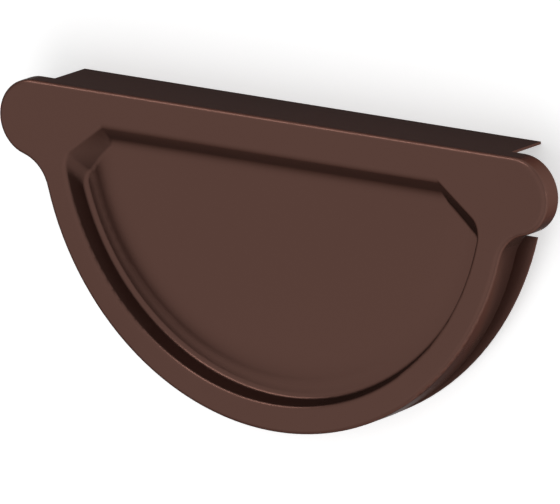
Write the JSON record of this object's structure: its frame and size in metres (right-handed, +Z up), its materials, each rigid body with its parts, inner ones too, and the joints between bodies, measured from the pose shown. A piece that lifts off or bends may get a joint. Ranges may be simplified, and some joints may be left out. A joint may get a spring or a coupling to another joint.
{
  "type": "gutter end cap",
  "caption": "Half-round gutter end cap pressed from one coated steel sheet, with rounded ears, a deep rim, a folded top flange and a pressed-in panel with a shallow groove round it.",
  "frame": {"origin": "centre of the footprint on the floor, below the middle of the bounding box, with the cap lying on its back", "axes": "+X along the straight top edge, +Y across the floor towards the top edge, +Z up. The front face looks up and leans 7 degrees towards -Y, because the cap rests on the top flange's back edge and the lowest point of the rim"},
  "size_m": [0.149, 0.0726, 0.0159],
  "materials": {
    "coated_steel": "satin chocolate brown polyester coating"
  },
  "bodies": {
    "root": {"end_cap": "coated_steel"}
  },
  "joints": []
}
